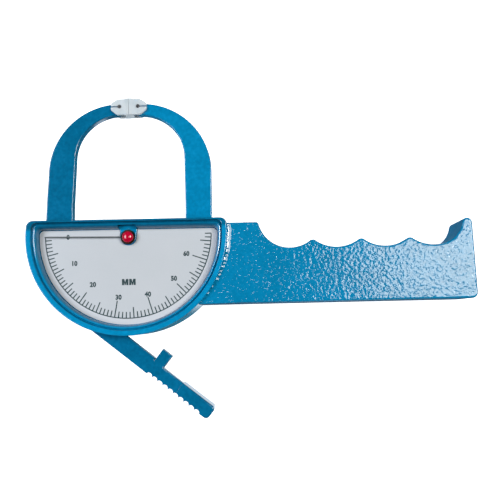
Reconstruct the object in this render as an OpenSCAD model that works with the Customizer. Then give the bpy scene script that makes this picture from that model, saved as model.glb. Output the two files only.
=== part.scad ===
// Skinfold caliper with a half-moon dial, a fixed and a moving jaw and a hooked hand grip.
// X runs along the grip, Y up the jaws, Z out of the dial. The origin is behind the middle of the
// graduated arc, in the flat back face on which the caliper rests. Millimetres throughout.

/* [Housing] */
// Outer radius of the half-moon housing
hous_r = 52.9; // [52.6:0.1:53.2]
// Height of the housing's flat top edge above its own centre
hous_top = 7.7; // [7.5:0.1:7.9]
// Thickness from the back face to the front of the dial rim
hous_t = 28; // [27.6:0.1:29]
// Wall thickness of the casting around the mechanism
wall = 3; // [2.6:0.1:3.2]

/* [Grip] */
// Thickness of the hand grip
grip_t = 26; // [24:0.5:26.5]
// Height of the grip's top edge above the middle of the arc
grip_top = 4.65; // [4.5:0.05:4.8]
// Height of the grip's bottom edge, below the middle of the arc
grip_bot = -37.6; // [-38.5:0.1:-37]
// Distance from the middle of the arc to the end of the grip
grip_end = 180.7; // [180.3:0.1:181.2]
// Radius of the finger grooves
groove_r = 19; // [18.9:0.1:19.1]

/* [Jaws] */
// Thickness of the jaw plates
jaw_t = 4.6; // [4.2:0.1:4.6]
// Distance from the middle to the outer side of the fixed jaw
jaw_out = 44.3; // [44.1:0.1:44.5]
// Distance from the middle to the outer side of the moving jaw at its foot
jaw_foot = 45.1; // [44.9:0.1:45.3]
// Outer radius of each jaw's arch
arch_ro = 38.35; // [38.2:0.05:38.5]
// Inner radius of the arch
arch_ri = 24.4; // [24.2:0.1:24.6]
// Height of the skin contact above the middle of the arc
tip_y = 70.5; // [70.2:0.1:70.8]
// Width of each nylon contact shoe across the fold
tip_h = 9.1; // [8.8:0.1:9.3]

/* [Dial] */
// Radius of the graduated arc
dial_r = 44; // [43:0.5:44.5]
// Radius of the dial plate
plate_r = 47.1; // [46.6:0.1:47.2]
// Radius of the red needle cap
cap_r = 2.95; // [2.8:0.05:3.1]

/* [Thumb lever] */
// Angle of the thumb lever below the grip's direction, jaws closed
lever_a = 38; // [37.5:0.5:38.5]
// Length of the lever from the jaw pivot
lever_l = 66.4; // [65:0.2:67]
// Spacing of the thumb serrations
rib_p = 3.46; // [3.3:0.02:3.5]

/* [Gear train] */
// Teeth of a full circle of the jaw's sector gear
z_sector = 92; // [92]
// Teeth of the idler
z_idler = 26; // [26]
// Teeth of the needle's pinion
z_pinion = 18; // [18]

/* [Hidden] */
$fn = 96;

blue = [0.0, 0.45, 0.66];
white = [0.93, 0.93, 0.92];
steel = [0.72, 0.73, 0.75];
brass = [0.78, 0.62, 0.30];
spring = [0.45, 0.46, 0.50];
red = [0.78, 0.05, 0.12];
ink = [0.16, 0.16, 0.17];

mod = 0.5;                                   // gear module
nax = [0.3, -1.5];                           // needle's axis, a little below the middle of the arc
piv = nax - [0, mod * (z_sector + 2 * z_idler + z_pinion) / 2];   // jaw pivot, 40.5 below the needle
idl = nax - [0, mod * (z_idler + z_pinion) / 2];  // idler axis, 11 below the needle
lev = [0, -40.5];                            // origin of the thumb lever's outline
jz = 14.8;                                   // back face of the jaw plates
jz2 = jz + jaw_t;
seat_z = 22.2;                               // face that the dial plate lies on
hous_c = [-0.25, -0.1];                      // centre of the housing
lean = -0.37;                                // turn of its flat top, higher on the left
slot_lo = 14.4;
slot_hi = 19.8;
gear_z = 11.9;                               // back face of the gears
gear_t = 2.4;
pin_x = 5;                                   // tip pins, from the middle
cover_t = 2;
scr = [[-23.5, -0.5], [23.5, -0.5], [30, -33], [-33.5, -31.5]];  // cover screws
jscr = [[37.5, -3], [37.5, -17]];            // fixed jaw screws
post = piv + 15 * [cos(60), sin(60)];        // anchor of the main spring, on the cover
arm_peg = piv + 17 * [cos(118), sin(118)];   // spring peg on the moving jaw

module at_needle() translate([nax[0], nax[1], 0]) children();
module ring(ro, ri, h) { difference() { cylinder(r = ro, h = h); translate([0, 0, -1]) cylinder(r = ri, h = h + 2); } }

// Half-moon outline: a disc cut by a flat top, with its two corners rounded. The corner circles
// stand 0.002 mm proud, so that they cross the other edges instead of only touching them.
module moon(r, top, c) {
  yc = top - c;
  xc = sqrt((r - c) * (r - c) - yc * yc);
  intersection() {
    circle(r = r);
    polygon([[-xc, top], [xc, top], [xc, yc], [xc * 1.4, yc * 1.4], [80, -80], [-80, -80], [-xc * 1.4, yc * 1.4], [-xc, yc]]);
  }
  for (s = [-1, 1]) translate([s * xc, yc]) circle(r = c + 0.002);
}

// The half-moon set in from the housing's outline: by dr on the round side and dt on the flat one.
module half_moon(dr, dt, c) translate(hous_c) rotate([0, 0, lean]) moon(hous_r - dr, hous_top - dt, c);
// The half-moon of the dial and its recess.
module dial_moon(r, top, c) translate([0.05, -0.2]) rotate([0, 0, lean]) moon(r, top, c);

// Material above a rounded peak between two grooves, to be taken away.
function meet(a, ra, b, rb) =
  let (d = norm(b - a), u = (b - a) / d, x = (d * d + ra * ra - rb * rb) / (2 * d), y = sqrt(ra * ra - x * x))
  a + u * x + [u[1], -u[0]] * y;
module over_peak(a, ra, b, rb, r) {
  c = meet(a, ra + r, b, rb + r);
  ta = c + r * (a - c) / norm(a - c);
  tb = c + r * (b - c) / norm(b - c);
  difference() { polygon([a, ta, tb, b]); translate(c) circle(r = r + 0.002); }
}

// Outline of the grip: straight top, four finger grooves, a hook and a rounded end.
tipc = [grip_end - 3.5, 1.5];
g4 = [161.2, 4.4];
g4r = norm(tipc - g4) - 2.6;
g4l = g4 + (groove_r - g4r) * [-0.24, 0.97];
g3 = [134.9, 9.6];
g2 = [109.7, 9.65];
g1 = [85.4, 7.6];
g1r = 16.8;
module grip_2d() {
  cx = g1[0] - sqrt((g1r + 1.6) * (g1r + 1.6) - (g1[1] - grip_top + 1.6) * (g1[1] - grip_top + 1.6));
  difference() {
    polygon([[30, grip_bot], [grip_end - 3, grip_bot], [grip_end - 3, grip_bot + 3], [grip_end, grip_bot + 3],
             [tipc[0] + 2.6, tipc[1]], tipc, g4, g4l, g3, g2, g1, [cx, grip_top], [30, grip_top]]);
    translate(g1) circle(r = g1r);
    translate(g2) circle(r = groove_r);
    translate(g3) circle(r = groove_r);
    translate(g4l) circle(r = groove_r);
    translate(g4) circle(r = g4r);
    over_peak(g1, g1r, g2, groove_r, 2.5);
    over_peak(g2, groove_r, g3, groove_r, 2.5);
    over_peak(g3, groove_r, g4l, groove_r, 2.5);
  }
  translate(tipc) circle(r = 2.6);
  translate([grip_end - 3, grip_bot + 3]) circle(r = 3);
  translate([cx, grip_top - 1.6]) circle(r = 1.6);
}

// Frame: one casting of grip, dial housing and rim. The mechanism sits in its open back, and a
// slot half way up lets the moving jaw and its lever swing out to the left and below.
module frame() color(blue) difference() {
  union() {
    difference() {
      union() {
        linear_extrude(grip_t) grip_2d();
        linear_extrude(hous_t - 0.5) half_moon(0, 0, 3.5);
        linear_extrude(hous_t) difference() { half_moon(0, 0, 3.5); half_moon(3.2, 1.5, 2.8); }
      }
      // dial recess
      translate([0, 0, seat_z]) linear_extrude(20) dial_moon(plate_r + 0.3, 3.15, 2.5);
      // mechanism space and the seat of the back cover
      translate([0, 0, -1]) linear_extrude(slot_hi + 1) half_moon(wall, wall, 2.5);
      translate([0, 0, -1]) linear_extrude(cover_t + 1) half_moon(1.4, 1.4, 3);
      // room for the needle's pinion and the hairspring in the top wall
      at_needle() translate([0, 0, 1.5]) cylinder(r = 5.6, h = 14.5);
      // notch over the bridge, in which the needle's cap turns
      translate([-4.7, 2.6, seat_z + 1.4]) cube([9.4, 2.1, 10]);
    }
    // bosses for the cover screws
    for (p = [scr[0], scr[1], scr[2]]) translate([p[0], p[1], cover_t]) cylinder(r = 3.2, h = slot_hi - cover_t + 0.4);
    translate([scr[3][0], scr[3][1], cover_t]) cylinder(r = 3.2, h = 9.4);
    translate([scr[3][0], scr[3][1], cover_t]) rotate([0, 0, 223]) translate([0, -2, 0]) cube([5, 4, 9.3]);
    for (s = [-1, 1]) translate([s * 23.5 - 2, -0.5, cover_t]) cube([4, 6, slot_hi - cover_t + 0.3]);
    translate([30, -33, cover_t]) rotate([0, 0, -47]) translate([0, -2, 0]) cube([6, 4, slot_hi - cover_t + 0.3]);
    // seats of the fixed jaw
    for (p = jscr) translate([p[0], p[1], jz2]) cylinder(r = 4, h = seat_z - 0.6 - jz2);
    // bridge that carries the needle's front bearing, through a notch in the dial
    translate([0, 0, slot_hi - 1]) linear_extrude(seat_z + 1.1 - slot_hi + 1) union() {
      translate(nax) circle(r = 4);
      polygon([[nax[0] - 4, nax[1]], [nax[0] + 4, nax[1]], [nax[0] + 4.7, 3.6], [nax[0] - 4.7, 3.6]]);
    }
  }
  // slot for the moving jaw and the thumb lever
  translate([-60, -60, slot_lo]) cube([30.1, 72, slot_hi - slot_lo]);
  translate([-60, -60, slot_lo]) cube([74, 28, slot_hi - slot_lo]);
  // slot for the fixed jaw
  translate([29.9, 0, slot_lo]) cube([14.9, 12, jz2 + 0.2 - slot_lo]);
  // pivot, idler and bearing bores
  translate([piv[0], piv[1], slot_hi - 1]) cylinder(r = 3, h = 2.9);
  translate([idl[0], idl[1], slot_hi - 1]) cylinder(r = 1.25, h = 2.6);
  at_needle() translate([0, 0, slot_hi - 2]) cylinder(r = 2.5, h = 8);
  for (p = jscr) translate([p[0], p[1], jz2 - 1]) cylinder(r = 1.25, h = 3.2);
  for (p = [scr[0], scr[1], scr[2]]) translate([p[0], p[1], 1]) cylinder(r = 1.25, h = 11);
  translate([scr[3][0], scr[3][1], 1]) cylinder(r = 1.25, h = 8);
}

// Back cover: the plate that closes the mechanism, with the rear bosses of its shafts.
module back_cover() color(blue) difference() {
  union() {
    linear_extrude(cover_t) half_moon(1.5, 1.5, 2.9);
    translate([piv[0], piv[1], 1]) cylinder(r = 5.2, h = 2.6);
    translate([idl[0], idl[1], 1]) cylinder(r = 3.4, h = 5);
    at_needle() translate([0, 0, 1]) cylinder(r = 4.2, h = 3.2);
    translate([post[0], post[1], 1]) cylinder(r = 2.6, h = 2.4);
  }
  translate([post[0], post[1], 1.2]) cylinder(r = 1.2, h = 4);
  translate([piv[0], piv[1], 1]) cylinder(r = 3, h = 4);
  translate([idl[0], idl[1], 1.2]) cylinder(r = 1.25, h = 6);
  at_needle() translate([0, 0, 1.2]) cylinder(r = 2.5, h = 6);
  for (p = scr) translate([p[0], p[1], 0]) {
    translate([0, 0, -1]) cylinder(r = 1.65, h = 4);
    translate([0, 0, -0.01]) cylinder(r1 = 3, r2 = 1.65, h = 1.35);
  }
}

module cross_slot(w, d) for (a = [0, 90]) rotate([0, 0, a]) translate([-w / 2, -0.4, 0]) cube([w, 0.8, d]);

// Countersunk cross-recess screw, head at z = 0, pointing up.
module csk_screw(l) difference() {
  union() {
    translate([0, 0, 0.05]) cylinder(r1 = 2.85, r2 = 1.25, h = 1.45);
    translate([0, 0, 1.2]) cylinder(r = 1.25, h = l - 1.2);
  }
  translate([0, 0, -0.5]) cross_slot(2.6, 1.3);
}

module cover_screws() color(steel) {
  for (p = [scr[0], scr[1], scr[2]]) translate([p[0], p[1], 0]) csk_screw(9.5);
  translate([scr[3][0], scr[3][1], 0]) csk_screw(7);
}

// Dial plate: white enamelled half-moon with a notch for the bearing bridge.
module dial_plate() color(white) translate([0, 0, seat_z]) difference() {
  linear_extrude(0.5) dial_moon(plate_r, 2.85, 2.3);
  at_needle() translate([0, 0, -1]) {
    cylinder(r = 4.3, h = 3);
    linear_extrude(3) polygon([[-4.3, 0], [4.3, 0], [5.5, 9], [-5.5, 9]]);
  }
}

// Arched jaw outline on the left side, from the housing to the contact shoe. The fixed jaw's arch
// stands sh further out; foot and inner are the outer and inner sides where it enters the housing.
module jaw_arch_2d(sh, foot, inner) {
  side = jaw_out - 0.4 + sh;
  co = [arch_ro - side, 34.2 - sh / 2];
  ci = [-5 - sh, 41.9 - sh / 2];
  difference() {
    union() {
      intersection() { translate(co) circle(r = arch_ro); polygon([[-60, co[1]], [-3.6, co[1]], [-3.6, 80], [-60, 80]]); }
      polygon([[-side, co[1]], [-0.4 * side - 0.6 * foot, 22], [-foot, 9], [-foot, 0], [20 - foot, 0], [20 - side, co[1]]]);
    }
    translate(ci) circle(r = arch_ri);
    polygon([[-inner, -1], [-inner, 17], [ci[0] - arch_ri, ci[1]], [0, ci[1]], [0, -1]]);
    // relief so that the shoe can turn on its pin
    polygon([[-5.4, 60], [-5.4, 66.6], [-3.6, 68.4], [-2, 68.4], [-2, 60]]);
  }
}

// Fixed jaw: plate with a foot that is screwed to the frame behind the dial.
module fixed_jaw() color(blue) translate([0, 0, jz]) difference() {
  mirror([1, 0, 0]) linear_extrude(jaw_t) union() {
    jaw_arch_2d(0.4, jaw_out, 30.15);
    polygon([[-30.4, 2.5], [-44, 2.5], [-44, -1], [-42.5, -22], [-32.5, -22], [-30.4, -1]]);
  }
  for (p = jscr) translate([p[0], p[1], -1]) cylinder(r = 1.65, h = 8);
  translate([pin_x, tip_y, -1]) cylinder(r = 0.95, h = 8);
}

module fixed_jaw_screws() color(steel) for (p = jscr) translate([p[0], p[1], jz]) difference() {
  union() { translate([0, 0, -1.8]) cylinder(r = 2.8, h = 1.8); cylinder(r = 1.25, h = jaw_t + 2); }
  translate([0, 0, -2.3]) cross_slot(3, 1.6);
}

// Thumb lever outline in its own direction: u along the lever, v across it, from near the pivot.
lo = -20.04;
module lever_2d() {
  difference() {
    union() {
      polygon([[-24.5, lo], [lever_l - 2.2, lo], [lever_l - 2.2, lo + 2.2], [lever_l, lo + 2.2], [lever_l, -13.9],
               [lever_l - 1.4, -12.5], [32.2, -12.5], [32.2, -4.9], [26, -4.9], [26, -12.1], [25.2, -11.1], [0, -11.1],
               [-8, -6], [-24.5, -14]]);
      translate([lever_l - 2.2, lo + 2.2]) circle(r = 2.2);
    }
    for (k = [0:9]) translate([26.7 + rib_p * (k + 0.5), lo - 0.5]) circle(r = 1.78, $fn = 48);
  }
}

// Moving jaw: arch, hub and thumb lever in one casting, turning on the pivot pin.
module moving_jaw() color(blue) difference() {
  union() {
    translate([0, 0, jz]) linear_extrude(jaw_t) union() {
      jaw_arch_2d(0, jaw_foot, 30.5);
      polygon([[-30.7, 2.5], [-44.9, 2.5], [-44.9, -8], [-31.5, -40.5], [-20, -45], piv, [2.5, -30], [-29, -5]]);
      translate(piv) circle(r = 10.4);
      translate(lev) rotate([0, 0, -lever_a]) lever_2d();
    }
    // hub behind the plate
    translate([piv[0], piv[1], 9.4]) cylinder(r = 6.5, h = jz - 9.4 + 1);
    // wide thumb pad at the end of the lever
    translate([lev[0], lev[1], 9.2]) rotate([0, 0, -lever_a]) linear_extrude(10.8)
      intersection() { lever_2d(); translate([45, -30]) square([40, 30]); }
  }
  translate([piv[0], piv[1], 0]) cylinder(r = 4, h = 30);
  translate([-pin_x, tip_y, 0]) cylinder(r = 0.95, h = 30);
  translate([arm_peg[0], arm_peg[1], jz - 1]) cylinder(r = 1.2, h = 4);
  for (a = [52, 88]) translate([piv[0], piv[1], jz - 1]) rotate([0, 0, a]) translate([8.9, 0, 0]) cylinder(r = 0.8, h = 4);
}

module pivot_pin() color(steel) translate([piv[0], piv[1], 0]) difference() {
  translate([0, 0, 1.1]) cylinder(r = 3, h = 20.5);
  translate([0, 0, 7.3]) ring(4, 2.3, 0.8);
}

module pivot_bush() color(brass) translate([piv[0], piv[1], 9.4]) difference() {
  union() { cylinder(r = 4, h = jz2 - 9.4); translate([0, 0, jz2 - 9.4]) cylinder(r = 5, h = 0.3); }
  translate([0, 0, -1]) cylinder(r = 3.05, h = 30);
}

module pivot_washer() color(steel) translate([piv[0], piv[1], 8.5]) ring(5.4, 3.1, 0.6);

// Retaining clip in the pivot pin's groove.
module pivot_clip() color(spring) translate([piv[0], piv[1], 7.4]) difference() {
  cylinder(r = 4.9, h = 0.6);
  translate([0, 0, -1]) cylinder(r = 2.35, h = 3);
  translate([-1.5, -6, -1]) cube([3, 6, 3]);
}

// Involute tooth outlines.
function roll(rb, r) = r <= rb ? 0 : sqrt(r * r / (rb * rb) - 1) * 180 / PI;
function bend(rb, r) = let (t = roll(rb, r)) t - atan(t * PI / 180);
function half_w(z, r, slack) =
  let (rp = mod * z / 2, rb = rp * cos(20)) 90 / z - slack / rp * 180 / PI - (bend(rb, r) - bend(rb, rp));
function tooth(z, a, slack) =
  let (rp = mod * z / 2, rb = rp * cos(20), ra = rp + 0.93 * mod, rf = rp - 1.25 * mod, r0 = max(rb, rf),
       rr = [for (i = [0:3]) r0 + (ra - r0) * i / 3])
  concat(rf < rb ? [rf * [cos(a - half_w(z, r0, slack)), sin(a - half_w(z, r0, slack))]] : [],
         [for (r = rr) r * [cos(a - half_w(z, r, slack)), sin(a - half_w(z, r, slack))]],
         [for (i = [3:-1:0]) rr[i] * [cos(a + half_w(z, rr[i], slack)), sin(a + half_w(z, rr[i], slack))]],
         rf < rb ? [rf * [cos(a + half_w(z, r0, slack)), sin(a + half_w(z, r0, slack))]] : []);
module gear_2d(z, a0, slack) polygon([for (k = [0:z - 1]) each tooth(z, a0 + k * 360 / z, slack)]);

// Sector gear on the moving jaw's hub, one tooth on the line towards the idler.
sp = 360 / z_sector;
module sector_gear() color(brass) translate([piv[0], piv[1], gear_z]) difference() {
  linear_extrude(gear_t) union() {
    polygon(concat([[0, 0]], [for (k = [-12:3]) each tooth(z_sector, 90 + k * sp, 0.05)]));
    circle(r = 7.5);
  }
  translate([0, 0, -1]) cylinder(r = 6.5, h = 6);
  for (a = [52, 88]) rotate([0, 0, a]) translate([8.9, 0, -1]) cylinder(r = 0.8, h = 6);
}

module sector_rivets() color(steel) translate([piv[0], piv[1], 0]) for (a = [52, 88])
  rotate([0, 0, a]) translate([8.9, 0, 0]) {
    translate([0, 0, gear_z - 0.7]) cylinder(r = 1.4, h = 0.7);
    translate([0, 0, gear_z - 0.1]) cylinder(r = 0.8, h = jz + 2.9 - gear_z);
  }

module idler_gear() color(brass) translate([idl[0], idl[1], gear_z]) difference() {
  union() {
    linear_extrude(gear_t) gear_2d(z_idler, 90 + 180 / z_idler, 0.05);
    translate([0, 0, -1.2]) cylinder(r = 2.6, h = 2);
    translate([0, 0, gear_t - 1]) cylinder(r = 2.6, h = 2);
  }
  translate([0, 0, -3]) cylinder(r = 1.3, h = 10);
}

module idler_pin() color(steel) translate([idl[0], idl[1], 1.3]) cylinder(r = 1.25, h = 19.9);

// Needle shaft with its pinion.
module needle_pinion() color(steel) at_needle() {
  translate([0, 0, 2.2]) cylinder(r = 1.2, h = 22.9);
  translate([0, 0, gear_z - 0.2]) linear_extrude(gear_t + 0.4) gear_2d(z_pinion, -90, 0.05);
}

module front_bearing() color(brass) at_needle() translate([0, 0, slot_hi - 1.6]) difference() {
  union() { cylinder(r = 2.5, h = 5); cylinder(r = 3.4, h = 0.55); }
  translate([0, 0, -1]) cylinder(r = 1.25, h = 8);
}

module rear_bearing() color(brass) at_needle() translate([0, 0, 1.3]) difference() {
  cylinder(r = 2.5, h = 3.1);
  translate([0, 0, 0.8]) cylinder(r = 1.25, h = 8);
}

// Pointer: a hub ring and a slim blade that reaches the first mark of the graduated arc.
module needle() color(ink) at_needle() rotate([0, 0, -1.25]) difference() {
  union() {
    translate([0, 0, 23.9]) cylinder(r = 2.3, h = 0.3);
    translate([-dial_r, -0.35, 23.9]) cube([dial_r - 2, 0.7, 0.3]);
  }
  translate([0, 0, 20]) cylinder(r = 1.2, h = 10);
}

module needle_washer() color([0.45, 0.30, 0.16]) at_needle() translate([0, 0, 24.2]) ring(3.9, 1.2, 0.4);

// Red cap pressed on the shaft's end.
module needle_cap() color(red) at_needle() difference() {
  union() {
    translate([0, 0, 24.6]) cylinder(r = cap_r, h = 0.9);
    intersection() {
      translate([0, 0, 25.5 - 2.6]) sphere(r = sqrt(cap_r * cap_r + 2.6 * 2.6));
      translate([0, 0, 25.5]) cylinder(r = cap_r, h = 4);
    }
  }
  translate([0, 0, 20]) cylinder(r = 1.2, h = 5.1);
}

// Tube swept along points that a rule gives.
function cross3(a, b) = [a[1] * b[2] - a[2] * b[1], a[2] * b[0] - a[0] * b[2], a[0] * b[1] - a[1] * b[0]];
function unit(v) = v / norm(v);
module sweep(pts, r, n = 8) {
  m = len(pts);
  dirs = [for (i = [0:m - 1]) unit(pts[min(i + 1, m - 1)] - pts[max(i - 1, 0)])];
  rings = [for (i = [0:m - 1]) let (d = dirs[i], s = unit(cross3([0, 0, 1] + [0.001, 0, 0], d)), t = cross3(d, s))
    for (k = [0:n - 1]) pts[i] + r * (cos(k * 360 / n) * s + sin(k * 360 / n) * t)];
  polyhedron(points = rings,
    faces = concat([[for (k = [0:n - 1]) k]],
      [for (i = [0:m - 2], k = [0:n - 1]) [i * n + k, (i + 1) * n + k, (i + 1) * n + (k + 1) % n, i * n + (k + 1) % n]],
      [[for (k = [n - 1:-1:0]) (m - 1) * n + k]]), convexity = 10);
}

// Hairspring that keeps the gear train pressed one way, round a collet on the needle's shaft.
module hairspring() color(spring) at_needle() difference() {
  union() {
    translate([0, 0, 8]) ring(2.2, 1.3, 1);
    translate([0, 0, 8.5]) sweep([for (a = [0:20:1100]) let (r = 2 + a / 1100 * 4.2) [r * cos(a), r * sin(a), 0]], 0.16, 6);
  }
  translate([0, 0, 5]) cylinder(r = 1.3, h = 6);
}
module hairspring_stud() color(brass) at_needle() translate([6.8 * cos(20), 6.8 * sin(20), cover_t]) cylinder(r = 0.75, h = 7.4);

// Torsion spring that closes the jaws: two coils round the pivot, one leg on the cover's
// post and the other on the moving jaw's peg.
function pol(r, a, z) = [piv[0] + r * cos(a), piv[1] + r * sin(a), z];
module main_spring() color(spring) {
  a0 = 40;
  a1 = 496;
  n = 40;
  sweep(concat([pol(17.5, 54.5, 4.6), pol(9, 49, 4.6)],
    [for (i = [0:n]) pol(7, a0 + (a1 - a0) * i / n, 4.6 + 1.9 * i / n)],
    [pol(9, 129, 6.6), pol(19, 123, 6.9)]), 0.5, 8);
}

module spring_post() color(steel) translate([post[0], post[1], 1.3]) cylinder(r = 1.2, h = 6.7);
module jaw_spring_peg() color(steel) translate([arm_peg[0], arm_peg[1], 5.6]) cylinder(r = 1.2, h = jz + 2.9 - 5.6);

// Contact shoe of the left jaw: a channel with two slit cheeks that snap over the pin.
module tip_2d(slit) difference() {
  union() {
    translate([-2.6, tip_y - tip_h / 2 + 0.2]) square([2.5, tip_h - 0.4]);
    polygon([[-2.4, tip_y - 4.6], [-6.4, tip_y - 4.6], [-9.4, tip_y - 1.6], [-9.8, tip_y - 0.9], [-9.8, tip_y + 0.9],
             [-9.4, tip_y + 1.6], [-6.4, tip_y + 4], [-2.4, tip_y + 4]]);
  }
  translate([-pin_x, tip_y]) circle(r = 1);
  if (slit) polygon([[-12, tip_y - 0.35], [-pin_x, tip_y - 0.25], [-pin_x, tip_y + 0.25], [-12, tip_y + 0.35]]);
}
module tip() difference() {
  union() {
    translate([0, 0, jz - 1.7]) linear_extrude(jaw_t + 3.4) tip_2d(false);
    translate([-2.35, tip_y - tip_h / 2, jz - 1.7]) cube([2.25, tip_h, jaw_t + 3.4]);
  }
  translate([-20, tip_y - 20, jz - 0.1]) cube([20 - 2.35, 40, jaw_t + 0.2]);
  translate([0, 0, 0]) linear_extrude(40) polygon([[-12, tip_y - 0.35], [-pin_x, tip_y - 0.25], [-pin_x, tip_y + 0.25], [-12, tip_y + 0.35]]);
}
module left_tip() color(white) tip();
module right_tip() color(white) mirror([1, 0, 0]) tip();
module tip_pin() translate([-pin_x, tip_y, jz - 1.6]) cylinder(r = 0.95, h = jaw_t + 3.2);
module left_tip_pin() color(steel) tip_pin();
module right_tip_pin() color(steel) mirror([1, 0, 0]) tip_pin();

frame();
back_cover();
cover_screws();
dial_plate();
fixed_jaw();
fixed_jaw_screws();
moving_jaw();
pivot_pin();
pivot_bush();
pivot_washer();
pivot_clip();
sector_gear();
sector_rivets();
idler_gear();
idler_pin();
needle_pinion();
front_bearing();
rear_bearing();
needle();
needle_washer();
needle_cap();
hairspring();
hairspring_stud();
main_spring();
spring_post();
jaw_spring_peg();
left_tip();
right_tip();
left_tip_pin();
right_tip_pin();
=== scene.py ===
import math

import bmesh
import bpy
import numpy as np
from mathutils import Matrix, Vector
from mathutils.geometry import delaunay_2d_cdt


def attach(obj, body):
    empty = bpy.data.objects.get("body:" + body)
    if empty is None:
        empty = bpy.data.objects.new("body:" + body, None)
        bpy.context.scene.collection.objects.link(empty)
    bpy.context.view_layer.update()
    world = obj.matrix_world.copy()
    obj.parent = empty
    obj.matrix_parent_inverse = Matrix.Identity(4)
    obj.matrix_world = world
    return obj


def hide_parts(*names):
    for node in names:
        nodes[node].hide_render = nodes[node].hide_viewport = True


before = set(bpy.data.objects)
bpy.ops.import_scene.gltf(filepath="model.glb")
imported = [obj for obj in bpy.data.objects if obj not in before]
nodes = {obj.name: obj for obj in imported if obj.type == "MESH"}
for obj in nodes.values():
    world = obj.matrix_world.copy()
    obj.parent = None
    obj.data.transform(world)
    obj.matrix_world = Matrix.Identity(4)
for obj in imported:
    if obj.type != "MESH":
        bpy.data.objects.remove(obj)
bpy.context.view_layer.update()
scene = bpy.context.scene
MM = 0.001


# ---------------------------------------------------------------- outlines in the plane
def arc(c, r, a0, a1, step=0.6):
    n = max(3, int(math.ceil(abs(math.radians(a1 - a0)) * r / step)))
    t = np.radians(np.linspace(a0, a1, n + 1))
    return [(c[0] + r * math.cos(a), c[1] + r * math.sin(a)) for a in t]


def circle(c, r, step=0.4):
    return arc(c, r, 0, 360, step)[:-1]


def heading(p, q):
    return math.degrees(math.atan2(q[1] - p[1], q[0] - p[0]))


def inside(poly, pts):
    x, y = pts[:, 0], pts[:, 1]
    hit = np.zeros(len(pts), bool)
    p = np.asarray(poly, float)
    for (x0, y0), (x1, y1) in zip(p, np.roll(p, -1, axis=0)):
        if y0 == y1:
            continue
        cross = (y0 > y) != (y1 > y)
        hit ^= cross & (x < (x1 - x0) * (y - y0) / (y1 - y0) + x0)
    return hit


def outline(add, sub=()):
    """The outer loop, counter-clockwise, of the union of the add polygons less the sub polygons."""
    verts, edges = [], []
    for poly in (*add, *sub):
        k, n = len(verts), len(poly)
        verts += [Vector(p) for p in poly]
        edges += [(k + i, k + (i + 1) % n) for i in range(n)]
    v, _, tris, *_ = delaunay_2d_cdt(verts, edges, [], 0, 1e-5)
    v = np.array([tuple(p) for p in v])
    tris = np.array([list(t) for t in tris])
    mid = v[tris].mean(axis=1)
    keep = np.zeros(len(tris), bool)
    for poly in add:
        keep |= inside(poly, mid)
    for poly in sub:
        keep &= ~inside(poly, mid)
    a, b, c = (v[tris[:, i]] for i in range(3))
    area = (b[:, 0] - a[:, 0]) * (c[:, 1] - a[:, 1]) - (b[:, 1] - a[:, 1]) * (c[:, 0] - a[:, 0])
    keep &= np.abs(area) > 1e-9
    directed = set()
    for t, s in zip(tris[keep], area[keep]):
        t = t if s > 0 else t[::-1]
        for i in range(3):
            directed.add((int(t[i]), int(t[(i + 1) % 3])))
    border = {}
    for i, j in directed:
        if (j, i) not in directed:
            border.setdefault(i, []).append(j)
    best, best_area = None, 0.0
    while border:
        start = next(iter(border))
        loop, here = [], start
        while here in border:
            loop.append(here)
            nxt = border[here].pop()
            if not border[here]:
                del border[here]
            here = nxt
            if here == start:
                break
        p = v[loop]
        size = 0.5 * np.sum(p[:, 0] * np.roll(p[:, 1], -1) - np.roll(p[:, 0], -1) * p[:, 1])
        if size > best_area:
            best, best_area = p, size
    return thin(best)


def thin(loop, least=0.03):
    """Drops points that crowd the one before them."""
    out = [loop[0]]
    for p in loop[1:]:
        if np.hypot(*(np.asarray(p) - out[-1])) > least:
            out.append(np.asarray(p))
    if np.hypot(*(out[-1] - np.asarray(out[0]))) < least:
        out.pop()
    return np.array(out)


def rounded(poly, radius, step=0.25):
    """A polygon with its corners turned into arcs; radius is one number or one per corner."""
    p = [np.asarray(q, float) for q in poly]
    n = len(p)
    rad = radius if isinstance(radius, (list, tuple)) else [radius] * n
    out = []
    for i in range(n):
        a, b, c, r = p[i - 1], p[i], p[(i + 1) % n], rad[i]
        u, w = (a - b) / np.linalg.norm(a - b), (c - b) / np.linalg.norm(c - b)
        half = math.acos(max(-1, min(1, float(u @ w)))) / 2
        if r <= 0 or half > math.radians(89):
            out.append(tuple(b))
            continue
        t = min(r / math.tan(half), 0.49 * np.linalg.norm(a - b), 0.49 * np.linalg.norm(c - b))
        r = t * math.tan(half)
        m = (u + w) / np.linalg.norm(u + w)
        centre = b + m * r / math.sin(half)
        s, e = heading(centre, b + u * t), heading(centre, b + w * t)
        turn = (e - s + 180) % 360 - 180
        out += arc(centre, r, s, s + turn, step)
    return out


def mitres(loop):
    """Inward normals of a counter-clockwise loop, lengthened at corners so that sides move evenly."""
    p = np.asarray(loop, float)
    e = np.roll(p, -1, axis=0) - p
    e /= np.linalg.norm(e, axis=1)[:, None]
    n = np.column_stack([-e[:, 1], e[:, 0]])
    m = n + np.roll(n, 1, axis=0)
    m /= np.maximum(np.linalg.norm(m, axis=1), 1e-6)[:, None]
    c = np.maximum(np.sum(m * n, axis=1), 0.45)
    return m / c[:, None]


# ---------------------------------------------------------------- meshes
def to_object(bm, name, materials=(), sharp=35.0, weighted=True):
    mesh = bpy.data.meshes.new(name)
    bmesh.ops.remove_doubles(bm, verts=bm.verts, dist=1e-8)
    bmesh.ops.recalc_face_normals(bm, faces=bm.faces)
    bm.to_mesh(mesh)
    bm.free()
    obj = bpy.data.objects.new(name, mesh)
    scene.collection.objects.link(obj)
    for m in materials:
        mesh.materials.append(m)
    shade(obj, sharp, weighted)
    return obj


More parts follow.
